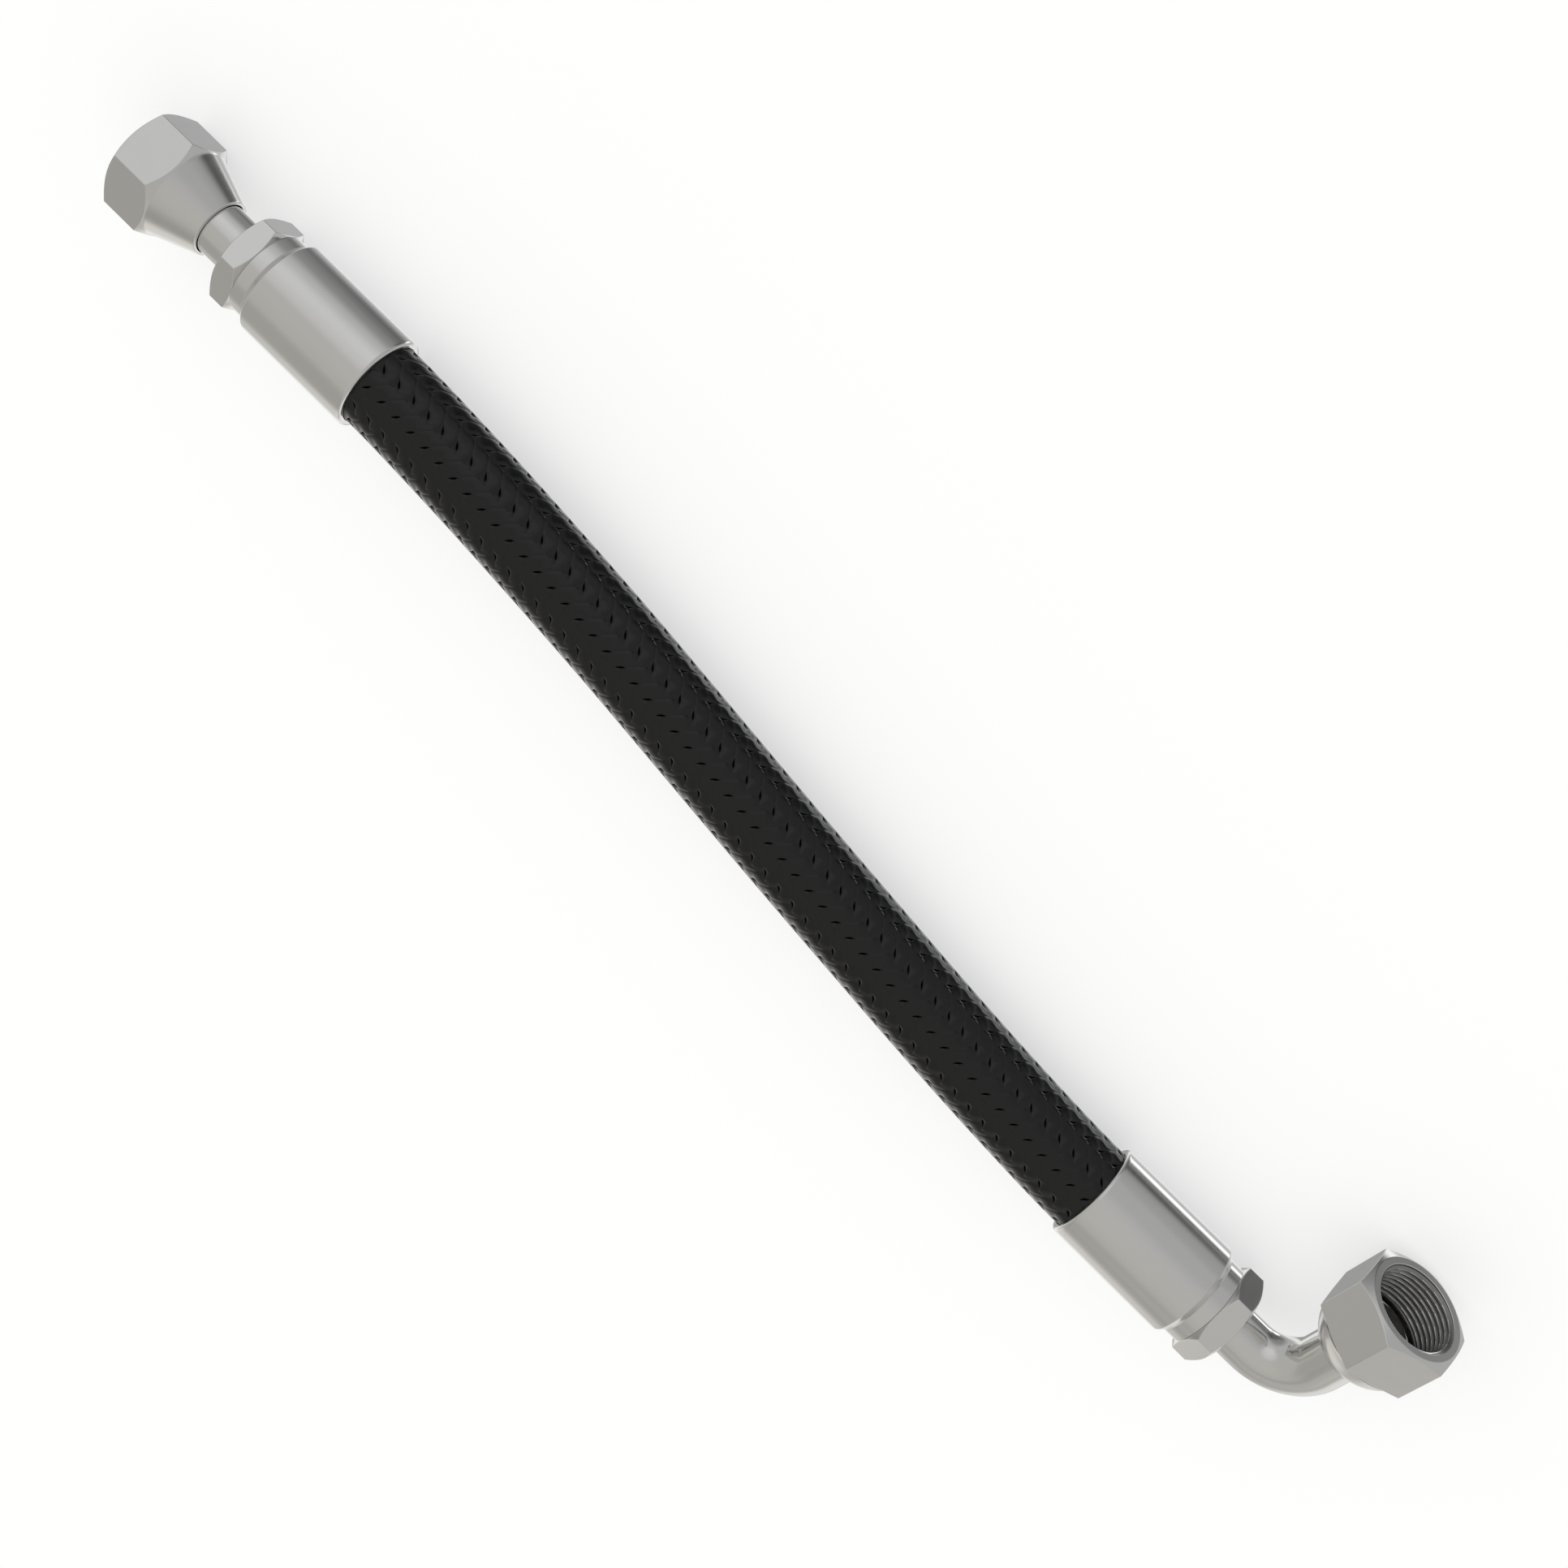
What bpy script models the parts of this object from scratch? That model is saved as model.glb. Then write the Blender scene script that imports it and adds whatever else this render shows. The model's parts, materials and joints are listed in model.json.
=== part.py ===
# A short hydraulic hose with a straight swivel end and a 90 degree elbow swivel end.
# It lies on a level floor at z = 0, on its nuts' corners and on the elbow's ferrule. X runs along both
# fittings, from the straight end to the elbow, and the elbow's nut points along +Y, tipped up a
# little. All sizes are in metres.

import math

import bmesh
import bpy
from mathutils import Matrix, Vector

# Hose
HOSE_RADIUS = 0.0120
HOSE_BORE_RADIUS = 0.00635
HOSE_END_GAP = 0.0011

# The hose's route on the floor plan, from the mouth of one ferrule to the mouth of the other.
# The first and last points are the two mouths, and both ends leave along X.
ROUTE = [
    (0.000, 0.0000),
    (0.028, -0.0012),
    (0.056, -0.0034),
    (0.086, -0.0064),
    (0.110, -0.0094),
    (0.133, -0.0124),
    (0.156, -0.0153),
    (0.180, -0.0181),
    (0.210, -0.0214),
    (0.238, -0.0238),
    (0.265, -0.0250),
]
ROUTE_STEP = 0.0120

# Ferrule: a crimped barrel with a reduced neck
FERRULE_RADIUS = 0.0137
FERRULE_BARREL_LENGTH = 0.0345
FERRULE_LIP_ROUND = 0.0010
FERRULE_SHOULDER = 0.0018
FERRULE_NECK_RADIUS = 0.0120
FERRULE_NECK_LENGTH = 0.0036
FERRULE_END_WALL = 0.0024

# Stem: nipple, collar, hexagon, tube and seat head
NIPPLE_LENGTH = 0.0295
NIPPLE_POINT = 0.0012
STEM_BORE_RADIUS = 0.0044
COLLAR_RADIUS = 0.0084
STEM_HEX_FLATS = 0.0240
STEM_HEX_LENGTH = 0.0067
STRAIGHT_HEX_ROLL = math.radians(-8.5)
ELBOW_HEX_ROLL = math.radians(21.0)
STRAIGHT_TUBE_RADIUS = 0.0074
ELBOW_TUBE_RADIUS = 0.0070
HEAD_RADIUS = 0.0102
HEAD_RIM = 0.0006
NOSE_STEP = 0.0010
NOSE_LENGTH = 0.0022
NOSE_HALF_ANGLE = math.radians(30.0)

# Tube that shows between each hexagon, the elbow's bend and the nuts
STRAIGHT_TUBE_SHOWN = 0.0098
BEND_RUN_UP = 0.0070
BEND_RADIUS = 0.0130
ELBOW_TUBE_SHOWN = 0.0082

# Swivel nuts
STRAIGHT_NUT_ROLL = math.radians(-8.5)
ELBOW_NUT_ROLL = math.radians(20.8)
NUT_FLATS = 0.0270
STRAIGHT_NUT_LENGTH = 0.0265
ELBOW_NUT_LENGTH = 0.0245
THREAD_RADIUS = 0.0110
MOUTH_CHAMFER = 0.0003
SEAT_DEPTH = 0.0147
NUT_FACE_RADIUS = 0.0128
NUT_LIP = 0.0005
STRAIGHT_CONE_LENGTH = 0.0124
STRAIGHT_CONE_RADIUS = 0.0132
STRAIGHT_CHAMFER_ANGLE = math.radians(52.0)
ELBOW_BACK_LENGTH = 0.0088
ELBOW_BACK_RADIUS = 0.0134
ELBOW_BACK_TURN = math.radians(40.0)
ELBOW_CHAMFER_ANGLE = math.radians(80.0)

# Shared
CHAMFER_ANGLE = math.radians(60.0)
HEX_EXCESS = 0.0002
FIT_GAP = 0.0003
SWIVEL_GAP = 0.0006
SIDES = 32
HOSE_SIDES = 24
ELBOW_BACK_STEPS = 5
BEND_STEPS = 8
SETTLE_ROUNDS = 6


def clear_scene():
    for obj in list(bpy.data.objects):
        bpy.data.objects.remove(obj, do_unlink=True)


def material(name, colour, roughness, metallic):
    mat = bpy.data.materials.new(name)
    mat.use_nodes = True
    shader = mat.node_tree.nodes["Principled BSDF"]
    shader.inputs["Base Color"].default_value = (*colour, 1.0)
    shader.inputs["Roughness"].default_value = roughness
    shader.inputs["Metallic"].default_value = metallic
    mat.diffuse_color = (*colour, 1.0)
    return mat


def empty(name, parent=None, location=(0, 0, 0), rotation=(0, 0, 0)):
    obj = bpy.data.objects.new(name, None)
    bpy.context.collection.objects.link(obj)
    obj.parent = parent
    obj.location = location
    obj.rotation_euler = rotation
    return obj


def mesh_object(name, bm, parent, mat=None, location=(0, 0, 0), rotation=(0, 0, 0)):
    bmesh.ops.recalc_face_normals(bm, faces=bm.faces)
    mesh = bpy.data.meshes.new(name)
    bm.to_mesh(mesh)
    bm.free()
    mesh.shade_smooth()
    mesh.set_sharp_from_angle(angle=math.radians(25.0))
    obj = bpy.data.objects.new(name, mesh)
    bpy.context.collection.objects.link(obj)
    if mat:
        mesh.materials.append(mat)
    obj.parent = parent
    obj.location = location
    obj.rotation_euler = rotation
    return obj


def ringed_body(rings, sides):
    """A body with a through bore: circles given as (matrix, radius), joined in order and closed."""
    bm = bmesh.new()
    loops = []
    for matrix, radius in rings:
        made = bmesh.ops.create_circle(bm, segments=sides, radius=radius, matrix=matrix)
        loops.append(made["verts"])
    for here, there in zip(loops, loops[1:] + loops[:1]):
        for k in range(sides):
            after = (k + 1) % sides
            bm.faces.new((here[k], here[after], there[after], there[k]))
    return bm


def turned_body(outer, inner):
    """A turned body on local Z from (station, radius) outlines, both given from back to front."""
    outline = outer + inner[::-1]
    return ringed_body([(Matrix.Translation((0, 0, z)), r) for z, r in outline], SIDES)


def cut_hexagon(obj, flats, start, end, roll=0.0):
    """Mills the part of obj between two stations to a hexagon, with a hexagonal ring as cutter.
    At roll zero two flats face along local X, which is up and down on the floor."""
    corner = flats / math.sqrt(3.0)
    turn = Matrix.Rotation(roll, 4, "Z")
    low = Matrix.Translation((0, 0, start)) @ turn
    high = Matrix.Translation((0, 0, end)) @ turn
    bm = ringed_body([(low, corner), (low, corner * 1.5), (high, corner * 1.5), (high, corner)], 6)
    cutter = mesh_object(obj.name + "_hexagon_cutter", bm, obj)
    cutter.hide_render = True
    cutter.display_type = "WIRE"
    cut = obj.modifiers.new("Hexagon", "BOOLEAN")
    cut.operation = "DIFFERENCE"
    cut.solver = "EXACT"
    cut.object = cutter


def hose_depth():
    """How far the hose reaches into each ferrule."""
    return FERRULE_BARREL_LENGTH - FERRULE_END_WALL - HOSE_END_GAP


def hexagon_start():
    """The station of a stem's hexagon, just clear of the ferrule's neck."""
    return FERRULE_BARREL_LENGTH + FERRULE_SHOULDER + FERRULE_NECK_LENGTH + FIT_GAP


def hexagon_end():
    return hexagon_start() + STEM_HEX_LENGTH


def bend_start():
    return hexagon_end() + BEND_RUN_UP


def bend_length():
    return BEND_RADIUS * math.pi / 2.0


def smooth_route():
    """Points and directions along the hose's middle, from its end in one ferrule to the other."""
    points = [Vector((x, y, 0.0)) for x, y in ROUTE]
    along = Vector((1.0, 0.0, 0.0))
    count = len(points)
    tangents = []
    for k in range(count):
        if k in (0, count - 1):
            tangents.append(along.copy())
        else:
            tangents.append((points[k + 1] - points[k - 1]).normalized())
    stations = [(points[0] - along * hose_depth(), along)]
    for k in range(count - 1):
        chord = (points[k + 1] - points[k]).length
        steps = max(1, round(chord / ROUTE_STEP))
        for s in range(steps):
            t = s / steps
            a = 2 * t**3 - 3 * t**2 + 1
            b = t**3 - 2 * t**2 + t
            c = -2 * t**3 + 3 * t**2
            d = t**3 - t**2
            place = a * points[k] + b * chord * tangents[k] + c * points[k + 1] + d * chord * tangents[k + 1]
            a1 = 6 * t**2 - 6 * t
            b1 = 3 * t**2 - 4 * t + 1
            d1 = 3 * t**2 - 2 * t
            slope = a1 * (points[k] - points[k + 1]) + chord * (b1 * tangents[k] + d1 * tangents[k + 1])
            stations.append((place, slope.normalized()))
    stations.append((points[-1], along))
    stations.append((points[-1] + along * hose_depth(), along))
    return stations


def across(place, direction):
    """A frame at a place, with its Z along a level direction and its X upright."""
    z = direction.normalized()
    x = Vector((0.0, 0.0, 1.0))
    y = z.cross(x)
    frame = Matrix((x, y, z)).transposed().to_4x4()
    frame.translation = place
    return frame


def build_hose(parent, mat):
    frames = [across(place, direction) for place, direction in smooth_route()]
    outer = [(frame, HOSE_RADIUS) for frame in frames]
    inner = [(frame, HOSE_BORE_RADIUS) for frame in frames[::-1]]
    return mesh_object("hose", ringed_body(outer + inner, HOSE_SIDES), parent, mat)


def build_ferrule(name, parent, mat):
    shoulder_end = FERRULE_BARREL_LENGTH + FERRULE_SHOULDER
    neck_end = shoulder_end + FERRULE_NECK_LENGTH
    lip = FERRULE_LIP_ROUND
    outer = [
        (0.0, FERRULE_RADIUS - lip),
        (lip * 0.3, FERRULE_RADIUS - lip * 0.3),
        (lip, FERRULE_RADIUS),
        (FERRULE_BARREL_LENGTH, FERRULE_RADIUS),
        (shoulder_end, FERRULE_NECK_RADIUS),
        (neck_end, FERRULE_NECK_RADIUS),
    ]
    inside_end = FERRULE_BARREL_LENGTH - FERRULE_END_WALL
    inner = [
        (0.0, HOSE_RADIUS + FIT_GAP),
        (inside_end, HOSE_RADIUS + FIT_GAP),
        (inside_end, COLLAR_RADIUS + FIT_GAP),
        (neck_end, COLLAR_RADIUS + FIT_GAP),
    ]
    return mesh_object(name, turned_body(outer, inner), parent, mat)


def stem_back_outline():
    """The turned outline shared by both stems, from the nipple's point to the hexagon's front."""
    point = hose_depth() - NIPPLE_LENGTH
    nipple = HOSE_BORE_RADIUS - FIT_GAP
    collar = hose_depth() + FIT_GAP
    back = hexagon_start()
    front = hexagon_end()
    corner = STEM_HEX_FLATS / math.sqrt(3.0) + HEX_EXCESS
    face = STEM_HEX_FLATS / 2.0 - HEX_EXCESS
    slope = (corner - face) / math.tan(CHAMFER_ANGLE)
    return [
        (point, nipple - NIPPLE_POINT / 2.0),
        (point + NIPPLE_POINT, nipple),
        (collar, nipple),
        (collar, COLLAR_RADIUS),
        (back, COLLAR_RADIUS),
        (back, face),
        (back + slope, corner),
        (front - slope, corner),
        (front, face),
    ]


def seat_radius(tube_radius):
    """The radius of a nut's back bore on its tube."""
    return tube_radius + SWIVEL_GAP


def head_outline(tube_radius, nut_length):
    """The stem's end in the nut, as stations from the nut's back end. Its shoulder lies parallel to
    the nut's 45 degree seat, one fit gap clear of it."""
    back = nut_length - SEAT_DEPTH
    seat_start = back - (THREAD_RADIUS - seat_radius(tube_radius))
    clear = FIT_GAP * math.sqrt(2.0)
    foot = seat_start + clear - SWIVEL_GAP
    rim = foot + (HEAD_RADIUS - tube_radius)
    nose = HEAD_RADIUS - NOSE_STEP
    tip = nose - NOSE_LENGTH * math.tan(NOSE_HALF_ANGLE)
    return [
        (foot, tube_radius),
        (rim, HEAD_RADIUS),
        (rim + HEAD_RIM, HEAD_RADIUS),
        (rim + HEAD_RIM, nose),
        (rim + HEAD_RIM + NOSE_LENGTH, tip),
    ]


def build_stem_straight(parent, mat):
    nut_at = hexagon_end() + STRAIGHT_TUBE_SHOWN
    head = [(z + nut_at, r) for z, r in head_outline(STRAIGHT_TUBE_RADIUS, STRAIGHT_NUT_LENGTH)]
    back = stem_back_outline()
    outer = back + [(back[-1][0], STRAIGHT_TUBE_RADIUS)] + head
    inner = [(outer[0][0], STEM_BORE_RADIUS), (outer[-1][0], STEM_BORE_RADIUS)]
    stem = mesh_object("stem_straight", turned_body(outer, inner), parent, mat)
    low, high = hexagon_start() - FIT_GAP, hexagon_end() + FIT_GAP
    cut_hexagon(stem, STEM_HEX_FLATS, low, high, STRAIGHT_HEX_ROLL)
    return stem


def elbow_frame(length):
    """A frame on the elbow's middle line: along local Z, round the bend, then along local Y.
    Its length runs from the ferrule's mouth."""
    if length <= bend_start():
        return Matrix.Translation((0, 0, length))
    if length >= bend_start() + bend_length():
        beyond = length - bend_start() - bend_length()
        return Matrix.Translation((0, BEND_RADIUS + beyond, bend_start() + BEND_RADIUS)) @ quarter(1.0)
    share = (length - bend_start()) / bend_length()
    angle = share * math.pi / 2.0
    place = (0, BEND_RADIUS * (1.0 - math.cos(angle)), bend_start() + BEND_RADIUS * math.sin(angle))
    return Matrix.Translation(place) @ quarter(share)


def quarter(share):
    return Matrix.Rotation(-share * math.pi / 2.0, 4, "X")


def build_stem_elbow(parent, mat):
    nut_at = bend_start() + bend_length() + ELBOW_TUBE_SHOWN
    back = stem_back_outline()
    head = [(z + nut_at, r) for z, r in head_outline(ELBOW_TUBE_RADIUS, ELBOW_NUT_LENGTH)]
    steps = [bend_start() + bend_length() * k / BEND_STEPS for k in range(BEND_STEPS + 1)]
    tube = [(length, ELBOW_TUBE_RADIUS) for length in [hexagon_end()] + steps]
    outer = back + tube + head
    bore = [outer[0][0]] + [length for length, radius in tube[1:]] + [outer[-1][0]]
    rings = [(elbow_frame(length), radius) for length, radius in outer]
    rings += [(elbow_frame(length), STEM_BORE_RADIUS) for length in bore[::-1]]
    stem = mesh_object("stem_elbow", ringed_body(rings, SIDES), parent, mat)
    low, high = hexagon_start() - FIT_GAP, hexagon_end() + FIT_GAP
    cut_hexagon(stem, STEM_HEX_FLATS, low, high, ELBOW_HEX_ROLL)
    return stem


def nut_front_outline(length):
    """The outer outline at a nut's mouth, with the chamfer that rounds the hexagon's corners."""
    corner = NUT_FLATS / math.sqrt(3.0) + HEX_EXCESS
    slope = (corner - NUT_FACE_RADIUS) / math.tan(CHAMFER_ANGLE)
    return [(length - slope, corner), (length, NUT_FACE_RADIUS)]


def nut_bore_outline(tube_radius, length):
    """The inside of a nut: back bore, 45 degree seat, threaded bore and mouth."""
    bore = seat_radius(tube_radius)
    seat_end = length - SEAT_DEPTH
    return [
        (0.0, bore),
        (seat_end - (THREAD_RADIUS - bore), bore),
        (seat_end, THREAD_RADIUS),
        (length - MOUTH_CHAMFER, THREAD_RADIUS),
        (length, THREAD_RADIUS + MOUTH_CHAMFER),
    ]


def long_cone_back(tube_radius):
    """The straight end's nut: a long cone, then a steep chamfer up to the hexagon's corners."""
    corner = NUT_FLATS / math.sqrt(3.0) + HEX_EXCESS
    rise = (corner - STRAIGHT_CONE_RADIUS) / math.tan(STRAIGHT_CHAMFER_ANGLE)
    return [
        (0.0, seat_radius(tube_radius) + NUT_LIP),
        (STRAIGHT_CONE_LENGTH, STRAIGHT_CONE_RADIUS),
        (STRAIGHT_CONE_LENGTH + rise, corner),
    ]


def rounded_back(tube_radius):
    """The elbow's nut: a dome from the back rim up to the flats, then the hexagon's steep back."""
    corner = NUT_FLATS / math.sqrt(3.0) + HEX_EXCESS
    low = seat_radius(tube_radius) + NUT_LIP
    chord = math.hypot(ELBOW_BACK_LENGTH, ELBOW_BACK_RADIUS - low)
    lean = math.atan2(ELBOW_BACK_RADIUS - low, ELBOW_BACK_LENGTH)
    radius = chord / (2.0 * math.sin(ELBOW_BACK_TURN / 2.0))
    outline = []
    for k in range(ELBOW_BACK_STEPS + 1):
        turn = ELBOW_BACK_TURN * (k / ELBOW_BACK_STEPS)
        reach = 2.0 * radius * math.sin(turn / 2.0)
        heading = lean + ELBOW_BACK_TURN / 2.0 - turn / 2.0
        outline.append((reach * math.cos(heading), low + reach * math.sin(heading)))
    rise = (corner - ELBOW_BACK_RADIUS) / math.tan(ELBOW_CHAMFER_ANGLE)
    return outline + [(ELBOW_BACK_LENGTH + rise, corner)]


def build_nut(name, back, tube_radius, length, roll, parent, mat, location, rotation=(0, 0, 0)):
    body = turned_body(back + nut_front_outline(length), nut_bore_outline(tube_radius, length))
    nut = mesh_object(name, body, parent, mat, location, rotation)
    cut_hexagon(nut, NUT_FLATS, -FIT_GAP, length + FIT_GAP, roll)
    return nut


def world_points(pieces):
    bpy.context.view_layer.update()
    graph = bpy.context.evaluated_depsgraph_get()
    points = []
    for piece in pieces:
        shape = piece.evaluated_get(graph)
        points += [shape.matrix_world @ v.co for v in shape.data.vertices]
    return points


def settle(root, feet):
    """Tips the assembly until the lowest points of its three feet are level."""
    for _ in range(SETTLE_ROUNDS):
        a, b, c = [min(world_points(foot), key=lambda p: p.z) for foot in feet]
        normal = (b - a).cross(c - a).normalized()
        if normal.z < 0.0:
            normal.negate()
        turn = normal.rotation_difference(Vector((0.0, 0.0, 1.0)))
        root.matrix_world = turn.to_matrix().to_4x4() @ root.matrix_world


def centre_on_floor(root, pieces):
    """Moves the assembly so that its origin is the middle of its footprint, on the floor."""
    points = world_points(pieces)
    low = Vector([min(p[k] for p in points) for k in range(3)])
    high = Vector([max(p[k] for p in points) for k in range(3)])
    middle = (low + high) / 2.0
    root.location -= Vector((middle.x, middle.y, low.z))
    bpy.context.view_layer.update()


def main():
    clear_scene()
    cover = material("black_braid", (0.020, 0.020, 0.021), 0.35, 0.0)
    shell = material("plated_shell", (0.56, 0.56, 0.55), 0.25, 1.0)
    insert = material("plated_stem", (0.55, 0.55, 0.54), 0.25, 1.0)
    hexagon = material("plated_nut", (0.53, 0.53, 0.52), 0.30, 1.0)

    root = empty("hose_assembly")
    mouth_x, mouth_y = ROUTE[-1]
    straight_end = empty("straight_end", root, (0, 0, 0), (0, -math.pi / 2.0, 0))
    elbow_end = empty("elbow_end", root, (mouth_x, mouth_y, 0), (0, math.pi / 2.0, 0))

    hose = build_hose(root, cover)
    ferrule_straight = build_ferrule("ferrule_straight", straight_end, shell)
    stem_straight = build_stem_straight(straight_end, insert)
    straight_nut_at = (0, 0, hexagon_end() + STRAIGHT_TUBE_SHOWN)
    nut_straight = build_nut(
        "nut_straight", long_cone_back(STRAIGHT_TUBE_RADIUS), STRAIGHT_TUBE_RADIUS,
        STRAIGHT_NUT_LENGTH, STRAIGHT_NUT_ROLL, straight_end, hexagon, straight_nut_at)
    ferrule_elbow = build_ferrule("ferrule_elbow", elbow_end, shell)
    stem_elbow = build_stem_elbow(elbow_end, insert)
    elbow_nut_at = (0, BEND_RADIUS + ELBOW_TUBE_SHOWN, bend_start() + BEND_RADIUS)
    nut_elbow = build_nut(
        "nut_elbow", rounded_back(ELBOW_TUBE_RADIUS), ELBOW_TUBE_RADIUS,
        ELBOW_NUT_LENGTH, ELBOW_NUT_ROLL, elbow_end, hexagon, elbow_nut_at, (-math.pi / 2.0, 0, 0))

    settle(root, [[nut_straight], [nut_elbow], [ferrule_elbow, stem_elbow]])
    centre_on_floor(root, [
        hose, ferrule_straight, stem_straight, nut_straight, ferrule_elbow, stem_elbow, nut_elbow])


main()
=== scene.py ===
import json
import math

import bpy
import numpy as np
from mathutils import Matrix, Vector


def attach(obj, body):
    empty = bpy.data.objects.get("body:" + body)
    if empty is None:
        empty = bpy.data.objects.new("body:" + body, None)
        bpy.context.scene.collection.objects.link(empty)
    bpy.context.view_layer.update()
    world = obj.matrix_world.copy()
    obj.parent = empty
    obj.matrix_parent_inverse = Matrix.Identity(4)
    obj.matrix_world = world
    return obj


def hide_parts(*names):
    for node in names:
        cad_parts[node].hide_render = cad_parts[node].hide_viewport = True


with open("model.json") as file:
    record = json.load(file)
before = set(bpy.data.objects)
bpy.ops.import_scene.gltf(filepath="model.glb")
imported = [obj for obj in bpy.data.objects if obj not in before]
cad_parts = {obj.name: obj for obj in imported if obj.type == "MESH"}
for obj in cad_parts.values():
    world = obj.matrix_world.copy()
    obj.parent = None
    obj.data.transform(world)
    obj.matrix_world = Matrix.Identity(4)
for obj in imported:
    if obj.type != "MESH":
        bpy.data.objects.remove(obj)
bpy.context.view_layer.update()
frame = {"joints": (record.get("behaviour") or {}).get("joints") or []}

# A braided hydraulic hose with a straight swivel end and an elbow swivel end.
# Lengths are in metres. Fitting stations run from each ferrule's mouth towards its nut.


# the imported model's two hinges give the assembly's axes, which tip a little on the floor
layout = {
    "nutMiddle": 0.06995,   # from the straight ferrule's mouth to the middle of its nut
    "elbowMouth": (0.265, -0.025, 0.0),
}


def axes(x, y, z, place):
    matrix = Matrix((x, y, z)).transposed().to_4x4()
    matrix.translation = place
    return matrix


def assemblyAxes():
    hinges = {joint["name"]: joint for joint in frame["joints"]}
    straight, elbow = hinges["swivel_straight"], hinges["swivel_elbow"]
    x = -Vector(straight["axis"]).normalized()
    z = x.cross(Vector(elbow["axis"])).normalized()
    return axes(x, z.cross(x), z, Vector(straight["pos_m"]) + x * layout["nutMiddle"])


assembly = assemblyAxes()
straightEnd = assembly @ axes((0, 0, 1), (0, 1, 0), (-1, 0, 0), (0, 0, 0))
elbowEnd = assembly @ axes((0, 0, -1), (0, 1, 0), (1, 0, 0), layout["elbowMouth"])


# materials

def newMaterial(name):
    mat = bpy.data.materials.new(name)
    mat.use_nodes = True
    nodes = mat.node_tree.nodes
    return mat, nodes, mat.node_tree.links, nodes["Principled BSDF"]


def noiseNode(nodes, links, coord, scale, detail):
    node = nodes.new("ShaderNodeTexNoise")
    node.inputs["Scale"].default_value = scale
    node.inputs["Detail"].default_value = detail
    links.new(coord, node.inputs["Vector"])
    return node.outputs["Fac"]


def rampNode(nodes, links, source, low, high, fromLow=0.3, fromHigh=0.7):
    node = nodes.new("ShaderNodeMapRange")
    node.inputs["From Min"].default_value = fromLow
    node.inputs["From Max"].default_value = fromHigh
    node.inputs["To Min"].default_value = low
    node.inputs["To Max"].default_value = high
    links.new(source, node.inputs["Value"])
    return node.outputs["Result"]


def stretched(nodes, links, coord, scale):
    node = nodes.new("ShaderNodeMapping")
    node.inputs["Scale"].default_value = scale
    links.new(coord, node.inputs["Vector"])
    return node.outputs["Vector"]


def cloudyColour(nodes, links, cloud, colour, spread, shader):
    # the noise carries the colour from a little darker to a little lighter
    mix = nodes.new("ShaderNodeMix")
    mix.data_type = "RGBA"
    mix.inputs["A"].default_value = (*[c * (1 - spread) for c in colour], 1)
    mix.inputs["B"].default_value = (*[min(1, c * (1 + spread)) for c in colour], 1)
    links.new(cloud, mix.inputs["Factor"])
    links.new(mix.outputs["Result"], shader.inputs["Base Color"])


def fineRelief(nodes, links, height, strength, depth, shader):
    bump = nodes.new("ShaderNodeBump")
    bump.inputs["Strength"].default_value = strength
    bump.inputs["Distance"].default_value = depth
    links.new(height, bump.inputs["Height"])
    links.new(bump.outputs["Normal"], shader.inputs["Normal"])


steelLook = {
    "colour": (0.80, 0.79, 0.775),
    "colourSpread": 0.02,
    "cloudScale": 70.0,
    "cloudDetail": 3.0,
    "roughness": (0.15, 0.18),
    "streakScale": 120.0,
    "streakDetail": 2.0,
    "grain": 0.04,
    "grainDepth": 0.000002,
}


def steelMaterial(name, tint=1.0, roughness=steelLook["roughness"], lines=(1, 1, 1)):
    # lines says how much finer the machining streaks are along each axis
    look = steelLook
    mat, nodes, links, shader = newMaterial(name)
    coord = nodes.new("ShaderNodeTexCoord").outputs["Object"]
    cloud = noiseNode(nodes, links, coord, look["cloudScale"], look["cloudDetail"])
    colour = [c * tint for c in look["colour"]]
    cloudyColour(nodes, links, cloud, colour, look["colourSpread"], shader)
    along = stretched(nodes, links, coord, lines)
    streaks = noiseNode(nodes, links, along, look["streakScale"], look["streakDetail"])
    links.new(rampNode(nodes, links, streaks, *roughness), shader.inputs["Roughness"])
    fineRelief(nodes, links, streaks, look["grain"], look["grainDepth"], shader)
    shader.inputs["Metallic"].default_value = 1.0
    return mat


braidLook = {
    "colour": (0.0032, 0.0032, 0.0034),
    "colourSpread": 0.3,
    "roughness": (0.13, 0.18),
    "specular": 0.42,
    "linerRoughness": (0.60, 0.75),
    "linerSpecular": 0.04,
    "cloudScale": 900.0,
    "cloudDetail": 3.0,
    "filaments": 7.0,
    "filamentWander": 0.4,
    "filamentDepth": 0.00001,
    "filamentStrength": 0.20,
}


def braidMaterial(name, roughness, specular):
    look = braidLook
    mat, nodes, links, shader = newMaterial(name)
    coord = nodes.new("ShaderNodeTexCoord")
    place = coord.outputs["Object"]
    cloud = noiseNode(nodes, links, place, look["cloudScale"], look["cloudDetail"])
    cloudyColour(nodes, links, cloud, look["colour"], look["colourSpread"], shader)
    links.new(rampNode(nodes, links, cloud, *roughness), shader.inputs["Roughness"])
    # filaments run along each strand
    wave = nodes.new("ShaderNodeTexWave")
    wave.bands_direction = "Y"
    wave.inputs["Scale"].default_value = look["filaments"]
    wave.inputs["Distortion"].default_value = look["filamentWander"]
    links.new(coord.outputs["UV"], wave.inputs["Vector"])
    strength, depth = look["filamentStrength"], look["filamentDepth"]
    fineRelief(nodes, links, wave.outputs["Fac"], strength, depth, shader)
    shader.inputs["Specular IOR Level"].default_value = specular
    return mat


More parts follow.
